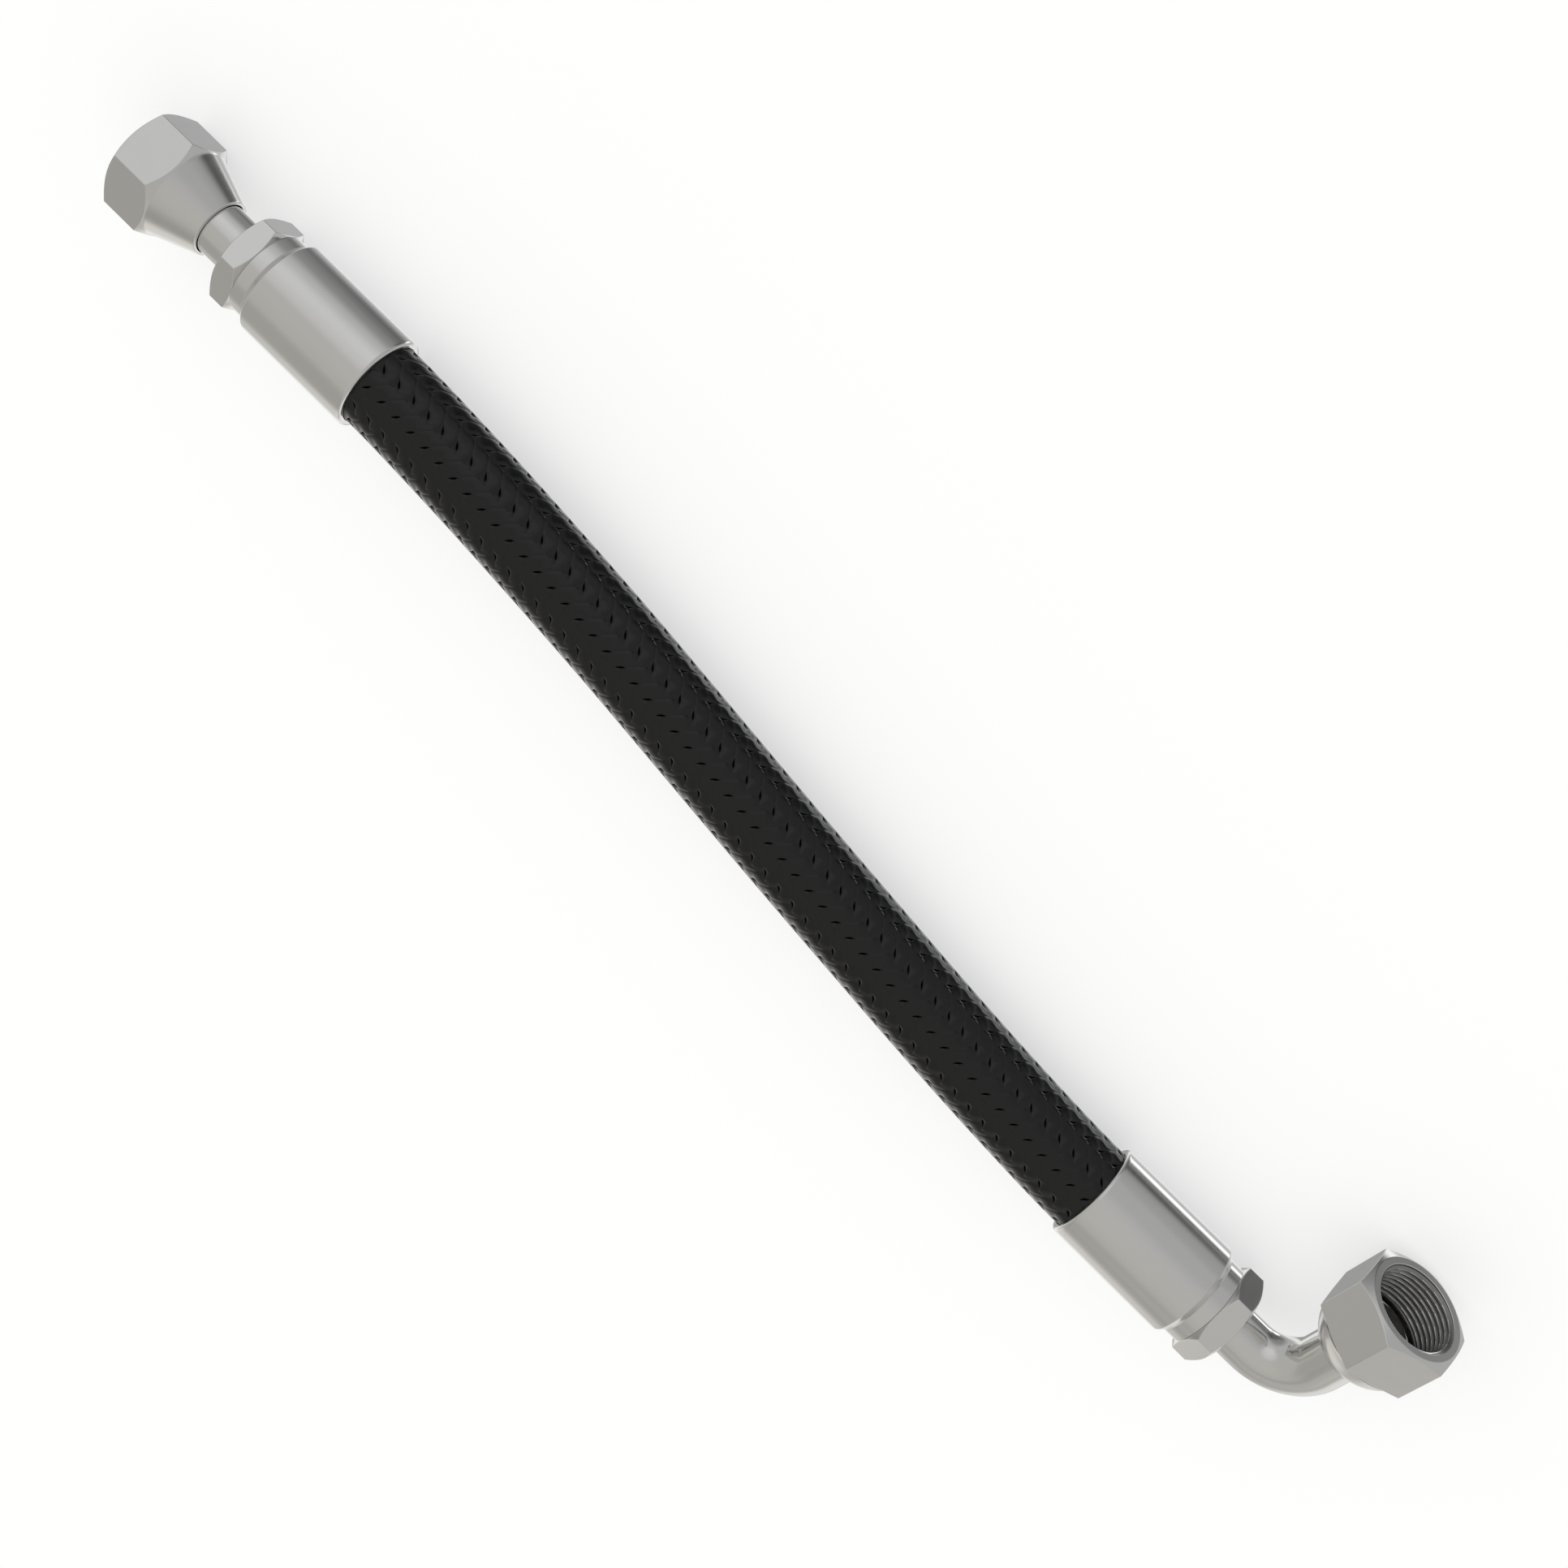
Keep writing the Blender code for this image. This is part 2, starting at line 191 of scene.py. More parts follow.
turnedSteel = steelMaterial("turned steel", lines=(12, 1, 1))
straightSteel = steelMaterial("milled steel", tint=0.98, roughness=(0.19, 0.23), lines=(5, 1, 1))
elbowSteel = steelMaterial(
    "milled steel at the elbow", tint=0.98, roughness=(0.19, 0.23), lines=(1, 5, 1),
)
tubeSteel = steelMaterial("drawn steel", roughness=(0.09, 0.12), lines=(3, 3, 1))
# a darker steel: oxide and painted shade in the thread's grooves, and painted shade on the stem's
# head inside the nut
shadeAndOxideSteel = steelMaterial("steel with painted shade and oxide", tint=0.38, roughness=(0.28, 0.36))
blackBraid = braidMaterial("black braid", braidLook["roughness"], braidLook["specular"])
liner = braidMaterial(
    "liner under the braid", braidLook["linerRoughness"], braidLook["linerSpecular"],
)


# rings of points joined to meshes

def gridObject(name, points, body, nodes, mats, marks=None):
    # the grid closes on itself in both directions; marks give each face's material
    rows, cols = points.shape[:2]
    if marks is None:
        marks = np.zeros((rows, cols), dtype=int)
    faces = []
    for i in range(rows):
        for j in range(cols):
            row, nextRow, nextCol = i * cols, (i + 1) % rows * cols, (j + 1) % cols
            faces.append((row + j, row + nextCol, nextRow + nextCol, nextRow + j))
    mesh = bpy.data.meshes.new(name)
    mesh.from_pydata(points.reshape(-1, 3).tolist(), [], faces)
    mesh.shade_smooth()
    for mat in mats:
        mesh.materials.append(mat)
    mesh.polygons.foreach_set("material_index", marks.ravel().tolist())
    placeObject(name, mesh, body, nodes)


def placeObject(name, mesh, body, nodes):
    obj = bpy.data.objects.new(name, mesh)
    bpy.context.scene.collection.objects.link(obj)
    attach(obj, body)
    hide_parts(*nodes)
    return obj


cornerCurve = {
    "steps": 3,
    "share": 0.4,   # the most of a neighbouring stretch that a curve may take
    "runUp": 1.2,   # a row this far out keeps the shading of the flat beside it even
    "fine": 0.0001,
    "finest": 0.00005,
}
fine, finest = cornerCurve["fine"], cornerCurve["finest"]
rowsPerCorner = cornerCurve["steps"] + 3


def rounded(corners):
    # corners are (station, radius, roundness); each one becomes a small curve with a flat run-up
    out = []
    count = len(corners)
    steps, share, runUp = cornerCurve["steps"], cornerCurve["share"], cornerCurve["runUp"]
    for k in range(count):
        here = np.array(corners[k][:2])
        size = corners[k][2]
        if size <= 0:
            out.append(here)
            continue
        before = np.array(corners[k - 1][:2]) - here
        after = np.array(corners[(k + 1) % count][:2]) - here
        reachIn, reachOut = np.linalg.norm(before), np.linalg.norm(after)
        before, after = before / reachIn, after / reachOut
        inSize, outSize = min(size, reachIn * share), min(size, reachOut * share)
        start, end = here + before * inSize, here + after * outSize
        out.append(here + before * inSize * runUp)
        for t in np.arange(steps + 1) / steps:
            out.append(start * (1 - t) ** 2 + here * 2 * t * (1 - t) + end * t ** 2)
        out.append(here + after * outSize * runUp)
    return np.array(out)


def aroundAngles(count):
    return np.linspace(0, 2 * math.pi, count, endpoint=False)


# a hexagon's columns crowd at its corners, so that these come out crisp and slightly rounded
hexColumns = {
    "fromMiddle": [0, 5, 10, 15, 19.5, 23.5, 26.5, 28.4],   # degrees from the middle of a flat
    "fromCorner": [1.5, 1, 0.5],    # from the corner, in shares of the angle that its arc takes
}


def hexAngles(roll, flats, cornerRound):
    # the angles of the columns, and the hexagon's radius at each
    corner = flats / math.sqrt(3)
    arcCentre = corner - 2 / math.sqrt(3) * cornerRound
    arcAngle = math.degrees(math.atan(cornerRound / 2 / (corner - cornerRound / math.sqrt(12))))
    side = hexColumns["fromMiddle"] + [30 - share * arcAngle for share in hexColumns["fromCorner"]]
    flat = [-v for v in side[:0:-1]] + side + [30]
    angles = [roll + math.radians(60 * f + v) for f in range(6) for v in flat]
    radii = []
    for v in flat:
        gap = math.radians(30 - abs(v))
        if math.degrees(gap) < arcAngle:
            sag = cornerRound ** 2 - (arcCentre * math.sin(gap)) ** 2
            radii.append(arcCentre * math.cos(gap) + math.sqrt(sag))
        else:
            radii.append(flats / 2 / math.cos(math.radians(v)))
    return np.array(angles), np.array(radii * 6)


def lathe(outlines, angles):
    # one outline of (station, radius) rows for each angle gives a grid of points round local Z
    columns = []
    for outline, angle in zip(outlines, angles):
        r = outline[:, 1]
        columns.append(np.stack([r * math.cos(angle), r * math.sin(angle), outline[:, 0]], axis=1))
    return np.stack(columns, axis=1)


def moved(points, matrix):
    m = np.array(matrix)
    return points @ m[:3, :3].T + m[:3, 3]


# the crimped shells, as long as the barrel, its shoulder and the reduced neck
ferrule = {
    "radius": 0.0137,
    "barrel": 0.0345,
    "shoulder": 0.0018,
    "neckRadius": 0.0120,
    "neck": 0.00388,
    "bore": 0.01208,
    "neckBore": 0.0087,
    "endWall": 0.0024,
    "lip": 0.0007,          # the mouth's rounding, in two steps
    "lipShare": 0.35,
    "lipEdges": (0.00015, 0.0002, 0.0003),
    "edge": 0.00020,
    "neckFillet": 0.00012,
    "sides": 144,
}


def ferruleOutline():
    f = ferrule
    neckStart = f["barrel"] + f["shoulder"]
    neckEnd = neckStart + f["neck"]
    wallStart = f["barrel"] - f["endWall"]
    lipMiddle = f["lip"] * f["lipShare"]
    rimEdge, middleEdge, outerEdge = f["lipEdges"]
    return rounded([
        (0.0, f["radius"] - f["lip"], rimEdge),
        (lipMiddle, f["radius"] - lipMiddle, middleEdge),
        (f["lip"], f["radius"], outerEdge),
        (f["barrel"], f["radius"], f["edge"]),
        (neckStart, f["neckRadius"], f["neckFillet"]),
        (neckEnd, f["neckRadius"], f["edge"]),
        (neckEnd, f["neckBore"], fine),
        (wallStart, f["neckBore"], fine),
        (wallStart, f["bore"], fine),
        (0.0, f["bore"], fine),
    ])


def buildFerrule(name, end, node):
    angles = aroundAngles(ferrule["sides"])
    points = moved(lathe([ferruleOutline()] * len(angles), angles), end)
    gridObject(name, points, "hose_and_fittings", [node], [turnedSteel])


buildFerrule("straight-ferrule", straightEnd, "ferrule_straight")
buildFerrule("elbow-ferrule", elbowEnd, "ferrule_elbow")
print("ferrules made")


# the inserts and the swivel nuts
stem = {
    "point": 0.0015,        # where the nipple starts inside the hose
    "pointStep": 0.0006,
    "pointTaper": 0.0012,
    "nipple": 0.00605,
    "bore": 0.0044,
    "collarStart": 0.0313,
    "collar": 0.0084,
    "hexStart": 0.0402,
    "hexLength": 0.0067,
    "hexFlats": 0.0240,
    "hexFace": 0.0118,
    "straightRoll": math.radians(-8.5),
    "elbowRoll": math.radians(21.0),
    "straightTube": 0.0074,
    "elbowTube": 0.0070,
    "edge": 0.00014,
    "straightNutAt": 0.0567,
    "elbowNutAt": 0.0212,
    "bendRadius": 0.0130,
    "bendStart": 0.0539,
    "bendSteps": 40,
    "headRadius": 0.0102,
    "headClearance": 0.0003,
    "headLand": 0.0006,
    "headPaintedShade": 0.0030,    # the darker steel, as painted shade, starts this far inside the nut
    "noseInset": 0.0010,
    "noseLength": 0.0022,
    "noseAngle": math.radians(30.0),
}
nut = {
    "straightRoll": math.radians(-8.5),
    "elbowRoll": math.radians(20.8),
    "flats": 0.0270,
    "straightLength": 0.0265,
    "elbowLength": 0.0245,
    "thread": 0.0110,
    "seatDepth": 0.0147,
    "swivelGap": 0.0006,
    "lip": 0.0005,
    "lipEdge": 0.0003,
    "rimIn": 0.00035,       # the back's edge is rolled in to the tube
    "rimEnds": (0.0010, 0.0012),
    "rimEdge": 0.00015,
    "face": 0.0128,
    "mouthChamfer": 0.00012,
    "mouthEdge": 0.00008,
    "coneLength": 0.0124,
    "coneRadius": 0.0132,
    "coneEdge": 0.0004,
    "chamferAngle": math.radians(52.0),
    "backLength": 0.0088,
    "backRadius": 0.0134,
    "backTurn": math.radians(40.0),
    "backSteps": 9,
    "backChamfer": math.radians(80.0),
    "edge": 0.00014,
    "cornerRound": 0.00030,
    "pitch": 0.0015,
    "threadDepth": 0.00085,
    "threadLength": 0.0136,
    "threadRows": 160,
    "threadFade": 0.0004,   # the thread rises over this length behind the mouth,
    "fadeDelay": 0.7,       # after a plain stretch of this share of it,
    "threadRunOut": 0.0012,     # and runs out over this one at its inner end
    "crestHeight": 1.22,    # above 1 the crest is flat
    "crestSlope": 2.5,
    "oxideAndShadeBelow": 0.86,       # below this height the thread is the darker steel, for oxide and painted shade in the grooves
}
chamferSlope = math.tan(math.radians(60.0))


def headCorners(tube, nutAt, length):
    # the stem's end inside the nut, clear of the nut's seat
    s = stem
    seatStart = length - nut["seatDepth"] - (nut["thread"] - tube - nut["swivelGap"])
    foot = seatStart + s["headClearance"] * math.sqrt(2) - nut["swivelGap"] + nutAt
    rim = foot + s["headRadius"] - tube
    noseStart = rim + s["headLand"]
    noseEnd = noseStart + s["noseLength"]
    nose = s["headRadius"] - s["noseInset"]
    tip = nose - s["noseLength"] * math.tan(s["noseAngle"])
    return [
        (foot, tube, fine),
        (rim, s["headRadius"], fine),
        (noseStart, s["headRadius"], fine),
        (noseStart, nose, finest),
        (noseEnd, tip, fine),
        (noseEnd, s["bore"], fine),
    ]


def stemCorners(hexRadius, tube, nutAt, length, bendStations):
    s = stem
    back, front = s["hexStart"], s["hexStart"] + s["hexLength"]
    rise = (hexRadius - s["hexFace"]) / chamferSlope
    corners = [
        (s["point"], s["nipple"] - s["pointStep"], fine),
        (s["point"] + s["pointTaper"], s["nipple"], fine),
        (s["collarStart"], s["nipple"], fine),
        (s["collarStart"], s["collar"], fine),
        (back, s["collar"], fine),
        (back, s["hexFace"], s["edge"]),
        (back + rise, hexRadius, s["edge"]),
        (front - rise, hexRadius, s["edge"]),
        (front, s["hexFace"], s["edge"]),
        (front, tube, fine),
    ]
    corners += [(station, tube, 0.0) for station in bendStations]
    return corners + headCorners(tube, nutAt, length) + [(s["point"], s["bore"], fine)]


def aroundElbow(points):
    # bends straight points from along local Z to along local Y
    s = stem
    bend = s["bendRadius"] * math.pi / 2
    x, y, length = points[..., 0], points[..., 1], points[..., 2]
    turn = np.clip((length - s["bendStart"]) / bend, 0, 1) * math.pi / 2
    beyond = np.maximum(length - s["bendStart"] - bend, 0)
    before = np.minimum(length, s["bendStart"])
    midY = s["bendRadius"] * (1 - np.cos(turn)) + beyond
    midZ = before + s["bendRadius"] * np.sin(turn)
    return np.stack([x, midY + y * np.cos(turn), midZ - y * np.sin(turn)], axis=-1)


def buildStem(name, node, tube, roll, nutAt, length, end, bent):
    angles, radii = hexAngles(roll, stem["hexFlats"], nut["cornerRound"])
    bendStations = []
    if bent:
        bendEnd = stem["bendStart"] + stem["bendRadius"] * math.pi / 2
        bendStations = np.linspace(stem["bendStart"], bendEnd, stem["bendSteps"] + 1).tolist()
    outlines = [rounded(stemCorners(r, tube, nutAt, length, bendStations)) for r in radii]
    if bent:
        # the bore, just before the outline's last corner, needs rings of its own round the bend
        bore = np.array([(station, stem["bore"]) for station in bendStations[::-1]])
        outlines = [np.vstack([o[:-rowsPerCorner], bore, o[-rowsPerCorner:]]) for o in outlines]
    points = lathe(outlines, angles)
    if bent:
        points = aroundElbow(points)
    # the head inside the nut takes the darker steel as painted shade
    marks = np.zeros(points.shape[:2], dtype=int)
    marks[outlines[0][:, 0] > nutAt + stem["headPaintedShade"]] = 1
    gridObject(
        name, moved(points, end), "hose_and_fittings", [node],
        [tubeSteel, shadeAndOxideSteel], marks,
    )


buildStem(
    "straight-stem", "stem_straight", stem["straightTube"], stem["straightRoll"],
    stem["straightNutAt"], nut["straightLength"], straightEnd, False,
)
# along the bent tube, the elbow's nut lies this much further than it does from the hose's axis
elbowBeyond = stem["bendStart"] + stem["bendRadius"] * (math.pi / 2 - 1)
buildStem(
    "elbow-stem", "stem_elbow", stem["elbowTube"], stem["elbowRoll"],
    stem["elbowNutAt"] + elbowBeyond, nut["elbowLength"], elbowEnd, True,
)
print("stems made")


def backRim(bore):
    # the edge that is rolled in, up to the outside of the nut's back
    rimEnd, rimStart = nut["rimEnds"]
    return [
        (rimStart, bore, fine),
        (rimEnd, bore - nut["rimIn"], finest),
        (0.0, bore - nut["rimIn"], nut["rimEdge"]),
        (0.0, bore + nut["lip"], nut["lipEdge"]),
    ]


def coneBack(hexRadius, bore):
    # a cone, then the hexagon's chamfer, which stops where it meets this angle's flat
    rise = (hexRadius - nut["coneRadius"]) / math.tan(nut["chamferAngle"])
    return backRim(bore) + [
        (nut["coneLength"], nut["coneRadius"], nut["coneEdge"]),
        (nut["coneLength"] + rise, hexRadius, nut["edge"]),
    ]


def roundBack(hexRadius, bore):
    # a dome, then the hexagon's steep back, which stops where it meets this angle's flat
    low = bore + nut["lip"]
    chord = math.hypot(nut["backLength"], nut["backRadius"] - low)
    lean = math.atan2(nut["backRadius"] - low, nut["backLength"])
    radius = chord / (2 * math.sin(nut["backTurn"] / 2))
    turn = np.linspace(0, nut["backTurn"], nut["backSteps"])[1:]
    reach = 2 * radius * np.sin(turn / 2)
    heading = lean + nut["backTurn"] / 2 - turn / 2
    dome = zip(reach * np.cos(heading), low + reach * np.sin(heading))
    rise = (hexRadius - nut["backRadius"]) / math.tan(nut["backChamfer"])
    return backRim(bore) + [(float(z), float(r), 0.0) for z, r in dome] + [
        (nut["backLength"] + rise, hexRadius, nut["edge"]),
    ]


def buildNut(name, node, body, back, tube, length, roll, place, steel):
    angles, radii = hexAngles(roll, nut["flats"], nut["cornerRound"])
    bore = tube + nut["swivelGap"]
    seatEnd = length - nut["seatDepth"]
    threadEnd = length - nut["threadLength"]
    stations = np.linspace(length - nut["mouthChamfer"], threadEnd, nut["threadRows"])
    rising = np.clip((length - stations) / nut["threadFade"] - nut["fadeDelay"], 0, 1)
    fade = rising * np.clip((stations - threadEnd) / nut["threadRunOut"], 0, 1)
    outlines, crests = [], []
    for angle, hexRadius in zip(angles, radii):
        rise = (hexRadius - nut["face"]) / chamferSlope
        corners = back(hexRadius, bore)
        corners += [
            (length - rise, hexRadius, nut["edge"]),
            (length, nut["face"], nut["edge"]),
            (length, nut["thread"] + nut["mouthChamfer"], nut["mouthEdge"]),
        ]
        phase = stations / nut["pitch"] + angle / (2 * math.pi)
        crest = np.clip(nut["crestHeight"] - nut["crestSlope"] * np.abs(phase % 1 - 0.5), 0, 1)
        thread = nut["thread"] - nut["threadDepth"] * crest * fade
        corners += [(float(z), float(r), 0.0) for z, r in zip(stations, thread)]
        corners += [
            (seatEnd, nut["thread"], fine),
            (seatEnd - (nut["thread"] - bore), bore, fine),
        ]
        outlines.append(rounded(corners))
        crests.append(crest)
    # the thread's flanks and roots take the darker steel, for oxide and painted shade in the
    # grooves; two corners end the outline after it
    last = len(outlines[0]) - 2 * rowsPerCorner
    marks = np.zeros((len(outlines[0]), len(angles)), dtype=int)
    marks[last - len(stations):last] = np.array(crests).T < nut["oxideAndShadeBelow"]
    points = moved(lathe(outlines, angles), place)
    gridObject(name, points, body, [node], [steel, shadeAndOxideSteel], marks)


straightNutPlace = straightEnd @ Matrix.Translation((0, 0, stem["straightNutAt"]))
elbowNutMiddle = (0, stem["elbowNutAt"], stem["bendStart"] + stem["bendRadius"])
elbowNutPlace = elbowEnd @ axes((1, 0, 0), (0, 0, -1), (0, 1, 0), elbowNutMiddle)
buildNut(
    "straight-nut", "nut_straight", "straight_nut", coneBack, stem["straightTube"],
    nut["straightLength"], nut["straightRoll"], straightNutPlace, straightSteel,
)
buildNut(
    "elbow-nut", "nut_elbow", "elbow_nut", roundBack, stem["elbowTube"],
    nut["elbowLength"], nut["elbowRoll"], elbowNutPlace, elbowSteel,
)
print("nuts made")


# the braided hose
hose = {
    "radius": 0.0120,
    "inside": 0.0030,       # how far it is drawn into each ferrule
    "core": 0.01080,        # the liner's radius
    "coreRings": 110,
    "coreSides": 40,
    "strands": 12,          # in each direction, each one over two and under two
    "step": 0.00506,        # along the hose, from one gap to the next in its line
    "phase": math.radians(28.5),
    "start": 0.00743,
    "strandWidth": 0.00460,
    "overNarrowing": 0.00090,   # the strands draw in beside every second line of gaps,
    "underNarrowing": 0.00320,  # the covered ones most
    "edgeReach": 0.4,       # where that narrowing is felt, as a share of the strand's width
    "lift": 0.00008,        # how far the strands rise and dip from their middle height
    "liftPower": 0.6,       # below 1 they stay up longer and dip more quickly
    "dimple": 0.00055,      # how far they sink beside a gap
    "dimplePower": 1.3,
    "hiddenBelow": -0.2,    # covered faces are left out where the wave is below this,
    "dimpleSeen": 0.15,     # unless they are this far into a dimple
    "samples": 7,           # points along a strand for each half step
    "uvScale": 100,
    # a strand's section: (share of its half width, depth below its top)
    "section": [
        (-1, 0.00095), (-0.98, 0.00013), (-0.86, 0), (-0.45, 0),
        (0.45, 0), (0.86, 0), (0.98, 0.00013), (1, 0.00095),
    ],
    # the route's points from mouth to mouth, along the assembly's axes
    "route": [
        (0.000, 0.0000), (0.028, -0.0012), (0.056, -0.0034), (0.086, -0.0064),
        (0.110, -0.0094), (0.133, -0.0124), (0.156, -0.0153), (0.180, -0.0181),
        (0.210, -0.0214), (0.238, -0.0238), (0.265, -0.0250),
    ],
    "routeSteps": 60,       # from each of these points to the next
    "headingReach": 0.0005, # the hose's heading is taken over this length to both sides
    "cordPoints": 60,
}


def routeLine():
    # the same smooth curve as the solid's, from just inside one ferrule to just inside the other
    points = [np.array(p) for p in hose["route"]]
    straight = np.array((1.0, 0.0))
    ways = [straight]
    for before, after in zip(points, points[2:]):
        ways.append((after - before) / np.linalg.norm(after - before))
    ways.append(straight)
    line = [points[0] - straight * hose["inside"]]
    for start, end, startWay, endWay in zip(points, points[1:], ways, ways[1:]):
        chord = np.linalg.norm(end - start)
        for t in np.linspace(0, 1, hose["routeSteps"], endpoint=False):
            a, b = 2 * t**3 - 3 * t**2 + 1, t**3 - 2 * t**2 + t
            c, d = -2 * t**3 + 3 * t**2, t**3 - t**2
            line.append(a * start + b * chord * startWay + c * end + d * chord * endWay)
    line.append(points[-1])
    line.append(points[-1] + straight * hose["inside"])
    return np.array(line)


line = routeLine()
lineLength = np.concatenate([[0], np.cumsum(np.linalg.norm(np.diff(line, axis=0), axis=1))])
hoseLength = float(lineLength[-1])
print("hose length", round(hoseLength, 4))


def routeAt(s):
    return np.interp(s, lineLength, line[:, 0]), np.interp(s, lineLength, line[:, 1])


def onHose(s, angle, radius):
    # points at distance s along the hose, at an angle from the top, at a radius
    reach = hose["headingReach"]
    x, y = routeAt(s)
    (xNext, yNext), (xLast, yLast) = routeAt(s + reach), routeAt(s - reach)
    dx, dy = xNext - xLast, yNext - yLast
    size = np.hypot(dx, dy)
    across, up = radius * np.sin(angle), radius * np.cos(angle)
    points = np.stack([x - dy / size * across, y + dx / size * across, up], axis=-1)
    return moved(points, assembly)


def weaveWave(angle, way):
    # above 0 where the strands of this direction lie on top
    return way * np.cos(hose["strands"] * (angle - hose["phase"]) / 2 - math.pi / 4)


def gapWave(angle):
    # rises to 1 on every second line of gaps along the hose
    return np.clip(np.cos(hose["strands"] * (angle - hose["phase"])), 0, 1)


def strandPoints(way, number):
    # one flat strand on its helix, which dips under the other direction's strands and back;
    # gives its rows of points, which of them show, and the texture's places along and across
    h = hose
    lead = h["strands"] * h["step"]
    crossings = int(round(2 * hoseLength / h["step"]))
    s = np.linspace(0, hoseLength, crossings * h["samples"] + 1)
    turns = (s - h["start"]) * way / lead + number / h["strands"]
    angle = 2 * math.pi * turns + h["phase"]
    slope = 2 * math.pi * h["radius"] / lead
    lean = math.hypot(1, slope)
    rows, seen = [], []
    for v, depth in h["section"]:
        edge = angle + v * h["edgeReach"] * h["strandWidth"] / lean / h["radius"]
        narrowing = np.where(weaveWave(edge, way) > 0, h["overNarrowing"], h["underNarrowing"])
        shift = v * (h["strandWidth"] - narrowing * gapWave(edge)) / 2
        here = angle + shift / lean / h["radius"]
        along = np.clip(s - way * shift * slope / lean, 0, hoseLength)
        wave = weaveWave(here, way)
        weave = np.sign(wave) * np.abs(wave) ** h["liftPower"]
        beat = np.clip(-np.cos(2 * math.pi * (along - h["start"]) / h["step"]), 0, 1)
        near = gapWave(here) * beat
        sunk = depth + h["dimple"] * near ** h["dimplePower"]
        rows.append(onHose(along, here, h["radius"] - h["lift"] + h["lift"] * weave - sunk))
        seen.append((wave > h["hiddenBelow"]) | (near > h["dimpleSeen"]))
    return np.stack(rows), np.stack(seen), s * lean, [(v + 1) / 2 for v, depth in h["section"]]


def buildHose():
    verts, faces, uvs, marks = [], [], [], []
    for way in (1, -1):
        for number in range(hose["strands"]):
            points, seen, along, across = strandPoints(way, number)
            rows, cols = points.shape[:2]
            start = len(verts)
            verts += points.reshape(-1, 3).tolist()
            uvs += [(u * hose["uvScale"], v) for v in across for u in along]
            for i in range(rows - 1):
                for j in range(cols - 1):
                    # a face that is wholly under other strands is left out
                    if seen[i:i + 2, j:j + 2].any():
                        a = start + i * cols + j
                        faces.append((a, a + 1, a + cols + 1, a + cols))
                        # the strand's two sides are as dull as the liner
                        marks.append(1 if i in (0, rows - 2) else 0)
    start, rings, sides = len(verts), hose["coreRings"], hose["coreSides"]
    for s in np.linspace(0, hoseLength, rings):
        verts += onHose(np.full(sides, s), aroundAngles(sides), hose["core"]).tolist()
        uvs += [(s * hose["uvScale"], 0.5)] * sides
    for i in range(rings - 1):
        for j in range(sides):
            a, b = start + i * sides + j, start + i * sides + (j + 1) % sides
            faces.append((a, a + sides, b + sides, b))
            marks.append(1)
    # only the points that a face uses go into the mesh
    used, corners = np.unique(np.array(faces), return_inverse=True)
    mesh = bpy.data.meshes.new("braided-hose")
    mesh.from_pydata(np.array(verts)[used].tolist(), [], corners.reshape(-1, 4).tolist())
    mesh.shade_smooth()
    cornerUvs = np.array(uvs)[used][corners.ravel()]
    mesh.uv_layers.new(name="strands").data.foreach_set("uv", cornerUvs.ravel())
    mesh.materials.append(blackBraid)
    mesh.materials.append(liner)
    mesh.polygons.foreach_set("material_index", marks)
    print("braid triangles", 2 * len(faces))
    return placeObject("braided-hose", mesh, "hose_and_fittings", ["hose"])


hosePiece = buildHose()
print("hose made")


# floor, light and camera
studio = {
    "floor": 0.38,          # its grey
    "floorSize": 6.0,
    "floorRoughness": 0.9,
    "floorSpecular": 0.1,
    "fill": 2.0,
    "fillAngle": math.radians(160.0),
    "glow": 0.57,           # the floor's own light
    "surround": 0.49,       # the world's level before the lobes
    "darkest": 0.02,
    "warmSide": (-0.70, -0.70, 0.10),
    "warmRange": (-0.3, 0.7),
    "warmTone": (1.02, 1.0, 0.945),
    "neutralTone": (0.99, 1.0, 1.01),
    # soft lights and shades round the part, which the metal mirrors: the direction (right, up,
    # back from the object to the camera), the widest angle, the full angle and the strength
    "lobes": [
        ((-0.08, 0.53, 0.85), 32, 4, 0.14),
        ((0.10, 0.70, 0.70), 26, 8, 0.05),
        ((-0.25, -0.30, 0.92), 40, 12, 0.03),
        ((0.42, 0.84, -0.20), 40, 12, -0.22),
        ((0.33, 0.82, -0.47), 12, 3, -0.08),
        ((0.64, 0.72, -0.25), 24, 8, -0.13),
        ((0.89, 0.44, -0.12), 12, 6, -0.12),
        ((0.82, 0.414, -0.39), 5.5, 3, -0.30),
        ((0.73, 0.39, -0.56), 9, 3, 1.00),
        ((0.56, 0.54, -0.63), 9, 3, 1.10),
        ((0.90, 0.42, 0.10), 34, 10, -0.11),
        ((0.60, 0.30, 0.74), 30, 8, -0.04),
        ((-0.90, -0.42, -0.05), 32, 8, -0.09),
        ((-0.50, -0.85, 0.00), 28, 6, -0.09),
        ((-0.52, -0.50, -0.69), 26, 6, 0.28),
        ((0.0, 0.0, -1.0), 42, 24, 0.45),
        ((0.0, 0.0, -1.0), 20, 8, -0.58),
        ((-0.30, -0.95, 0.06), 18, 6, 0.08),
        ((0.30, -0.80, -0.52), 28, 8, 0.34),
    ],
}
camera = {
    # its place and directions along the assembly's axes
    "place": (0.16950, 0.31907, 0.36614),
    "right": (0.71285, 0.49998, -0.49181),
    "up": (-0.69888, 0.5649, -0.4387),
    "back": (0.05848, 0.65644, 0.75211),
    "focalPixels": 2459,
    "framePixels": 1932,
    "sensor": 36.0,
    "clipStart": 0.01,
}
cameraPlace = assembly @ axes(camera["right"], camera["up"], camera["back"], camera["place"])


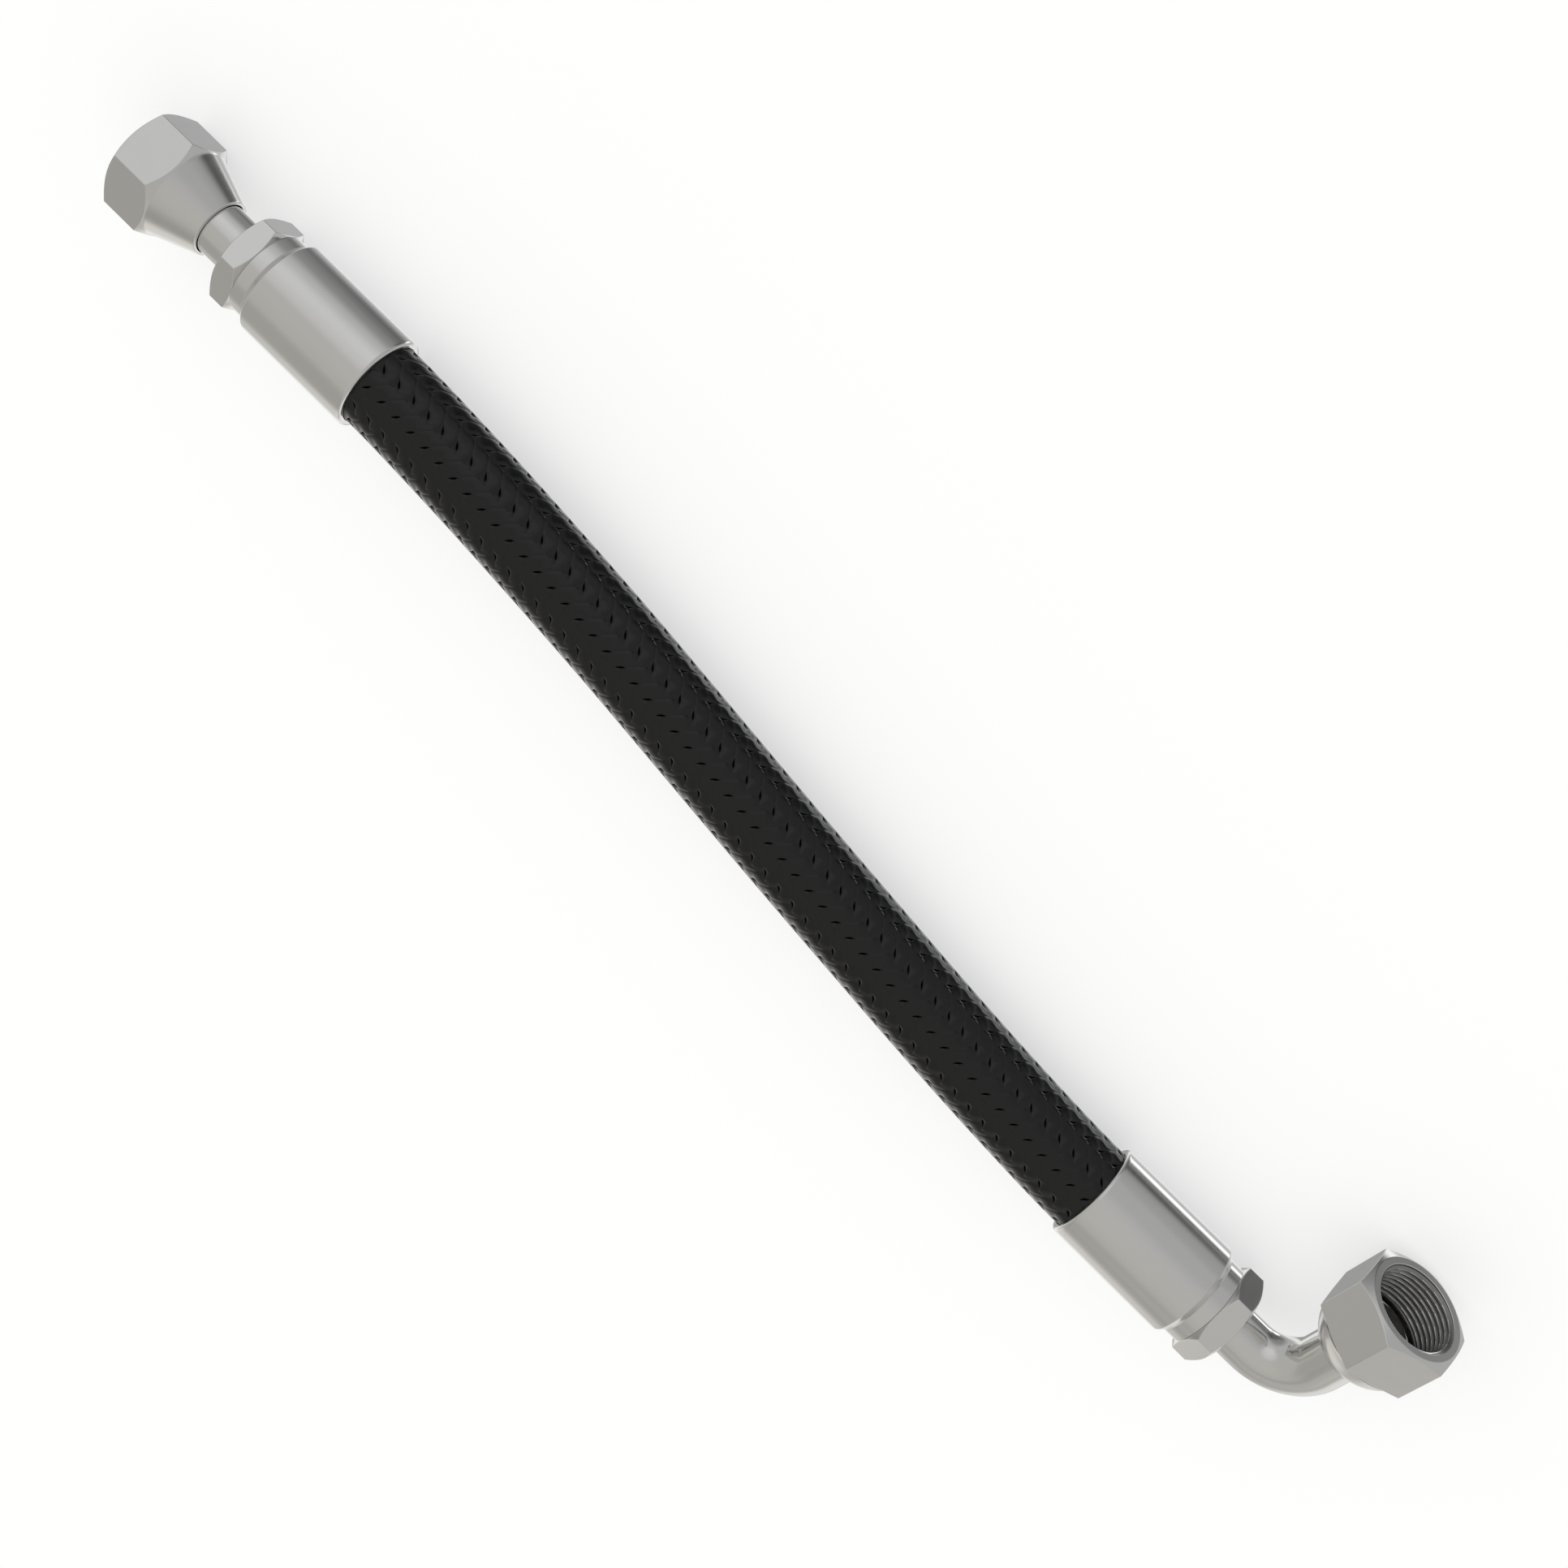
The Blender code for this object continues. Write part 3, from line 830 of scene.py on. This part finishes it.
def buildFloor():
    size = studio["floorSize"] / 2
    mesh = bpy.data.meshes.new("floor")
    corners = [(-size, -size, 0), (size, -size, 0), (size, size, 0), (-size, size, 0)]
    mesh.from_pydata(corners, [], [(0, 1, 2, 3)])
    obj = bpy.data.objects.new("floor", mesh)
    bpy.context.scene.collection.objects.link(obj)
    mat, nodes, links, shader = newMaterial("pale floor")
    shader.inputs["Base Color"].default_value = (*[studio["floor"]] * 3, 1)
    shader.inputs["Roughness"].default_value = studio["floorRoughness"]
    shader.inputs["Specular IOR Level"].default_value = studio["floorSpecular"]
    shader.inputs["Emission Color"].default_value = (1, 1, 1, 1)
    shader.inputs["Emission Strength"].default_value = studio["glow"]
    mesh.materials.append(mat)
    obj.visible_glossy = False


def buildFill():
    # a wide soft sun lights the floor; the metal reflects only the surround
    data = bpy.data.lights.new("fill", "SUN")
    data.energy = studio["fill"]
    data.angle = studio["fillAngle"]
    obj = bpy.data.objects.new("fill", data)
    obj.visible_glossy = False
    bpy.context.scene.collection.objects.link(obj)


def alignment(nodes, links, coord, way):
    # how nearly the world's direction is this one, which is given in the camera's axes
    dot = nodes.new("ShaderNodeVectorMath")
    dot.operation = "DOT_PRODUCT"
    dot.inputs[1].default_value = (cameraPlace.to_3x3() @ Vector(way)).normalized()
    links.new(coord, dot.inputs[0])
    return dot.outputs["Value"]


def buildWorld():
    world = bpy.data.worlds.new("studio")
    world.use_nodes = True
    nodes, links = world.node_tree.nodes, world.node_tree.links
    background = nodes["Background"]
    coord = nodes.new("ShaderNodeTexCoord").outputs["Generated"]
    total = None
    for way, outer, inner, strength in studio["lobes"]:
        fade = nodes.new("ShaderNodeMapRange")
        fade.interpolation_type = "SMOOTHSTEP"
        fade.inputs["From Min"].default_value = math.cos(math.radians(outer))
        fade.inputs["From Max"].default_value = math.cos(math.radians(inner))
        fade.inputs["To Max"].default_value = strength
        links.new(alignment(nodes, links, coord, way), fade.inputs["Value"])
        add = nodes.new("ShaderNodeMath")
        links.new(fade.outputs["Result"], add.inputs[0])
        if total:
            links.new(total, add.inputs[1])
        else:
            add.inputs[1].default_value = studio["surround"]
        total = add.outputs["Value"]
    brightness = nodes.new("ShaderNodeMath")
    brightness.operation = "MAXIMUM"
    brightness.inputs[1].default_value = studio["darkest"]
    links.new(total, brightness.inputs[0])
    tone = nodes.new("ShaderNodeMix")
    tone.data_type = "RGBA"
    tone.inputs["A"].default_value = (*studio["neutralTone"], 1)
    tone.inputs["B"].default_value = (*studio["warmTone"], 1)
    warmth = alignment(nodes, links, coord, studio["warmSide"])
    links.new(rampNode(nodes, links, warmth, 0, 1, *studio["warmRange"]), tone.inputs["Factor"])
    links.new(tone.outputs["Result"], background.inputs["Color"])
    links.new(brightness.outputs["Value"], background.inputs["Strength"])
    bpy.context.scene.world = world


def buildCamera():
    data = bpy.data.cameras.new("camera")
    data.lens = camera["focalPixels"] / camera["framePixels"] * camera["sensor"]
    data.sensor_width = camera["sensor"]
    data.clip_start = camera["clipStart"]
    obj = bpy.data.objects.new("camera", data)
    obj.matrix_world = cameraPlace
    bpy.context.scene.collection.objects.link(obj)
    bpy.context.scene.camera = obj


buildFill()
buildFloor()
buildWorld()
buildCamera()
bpy.context.scene.view_settings.view_transform = "Standard"
print("studio made")

bpy.context.view_layer.update()
